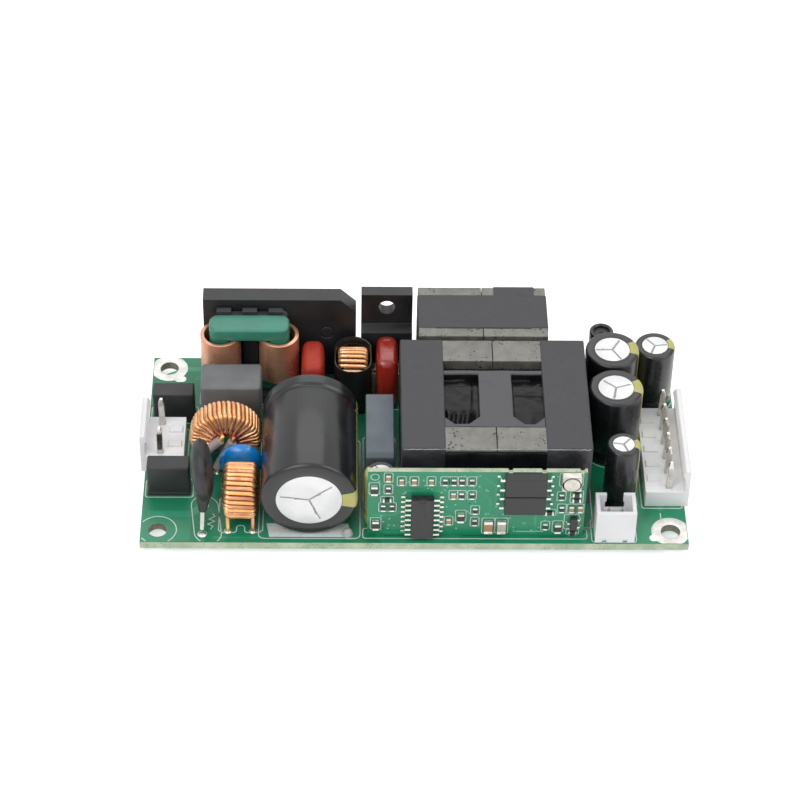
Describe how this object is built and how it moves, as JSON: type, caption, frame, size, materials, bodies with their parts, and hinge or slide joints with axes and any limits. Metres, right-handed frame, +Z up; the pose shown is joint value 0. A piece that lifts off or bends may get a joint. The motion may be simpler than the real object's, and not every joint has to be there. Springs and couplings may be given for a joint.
{
  "type": "open frame power supply",
  "caption": "Open-frame mains power supply: green circuit board carrying a transformer, toroidal chokes, capacitors, pin headers and an upright control board with a trimmer.",
  "frame": {"origin": "centre of the four mounting holes, on the underside of the main board", "axes": "+X along the board from the mains side to the output side, +Y from the edge with the upright control board to the opposite edge, +Z up from the board"},
  "size_m": [0.103, 0.0513, 0.0227],
  "materials": {
    "board": "satin",
    "nylon": "satin",
    "tin": "satin",
    "fuse_case": "matte",
    "black_coating": "matte",
    "blue_coating": "glossy",
    "grey_case": "matte",
    "green_core": "satin",
    "yellow_wire": "glossy",
    "wire_sleeve": "matte",
    "copper": "glossy",
    "grey_carrier": "matte",
    "black_epoxy": "satin",
    "can": "satin",
    "black_sleeve": "glossy",
    "red_coating": "glossy",
    "slate_case": "satin",
    "ferrite": "matte",
    "black_plastic": "satin",
    "black_tape": "glossy",
    "grey_tape": "satin",
    "chip_body": "satin",
    "solder": "glossy"
  },
  "bodies": {
    "supply": {"main_board": "board", "input_header": "nylon", "input_pins": "tin", "output_header": "nylon", "output_pins": "tin", "fan_header": "nylon", "fan_pins": "tin", "fuse_front": "fuse_case", "fuse_rear": "fuse_case", "thermistor": "black_coating", "varistor": "blue_coating", "line_capacitor": "grey_case", "filter_toroid_core": "green_core", "filter_toroid_winding": "yellow_wire", "filter_toroid_sleeves": "wire_sleeve", "small_toroid_core": "green_core", "small_toroid_winding": "yellow_wire", "choke_core": "green_core", "choke_coil_left": "copper", "choke_coil_right": "copper", "choke_carrier": "grey_carrier", "bridge_rectifier": "black_epoxy", "power_transistor": "black_epoxy", "bulk_capacitor_can": "can", "bulk_capacitor_sleeve": "black_sleeve", "red_capacitor_left": "red_coating", "red_capacitor_right": "red_coating", "grey_capacitor": "slate_case", "small_capacitor_can": "can", "small_capacitor_sleeve": "black_sleeve", "sleeved_choke_core": "green_core", "sleeved_choke_winding": "copper", "sleeved_choke_sleeve": "black_sleeve", "rod_choke_core": "ferrite", "rod_choke_sleeve": "black_sleeve", "rear_inductor_core": "ferrite", "rear_inductor_bobbin": "black_plastic", "rear_inductor_winding": "black_tape", "rear_inductor_tape": "grey_tape", "transformer_core": "ferrite", "transformer_bobbin": "black_plastic", "transformer_winding": "black_tape", "transformer_tape": "grey_tape", "output_capacitor_rear_can": "can", "output_capacitor_rear_sleeve": "black_sleeve", "output_capacitor_middle_can": "can", "output_capacitor_middle_sleeve": "black_sleeve", "output_capacitor_side_can": "can", "output_capacitor_side_sleeve": "black_sleeve", "output_capacitor_front_can": "can", "output_capacitor_front_sleeve": "black_sleeve", "control_board": "board", "controller_chip": "black_epoxy", "optocouplers": "black_epoxy", "trimmer_body": "tin", "chip_parts": "chip_body", "control_board_contacts": "solder", "component_leads": "tin", "solder_joints": "solder"},
    "trimmer_disc": {"trimmer_rotor": "tin"}
  },
  "joints": [
    {"name": "trimmer_turn", "type": "hinge", "parent": "supply", "child": "trimmer_disc", "pos_m": [0.0283, -0.0234, 0.0163], "axis": [0, 1, 0], "range_deg": [-130, 130]}
  ]
}
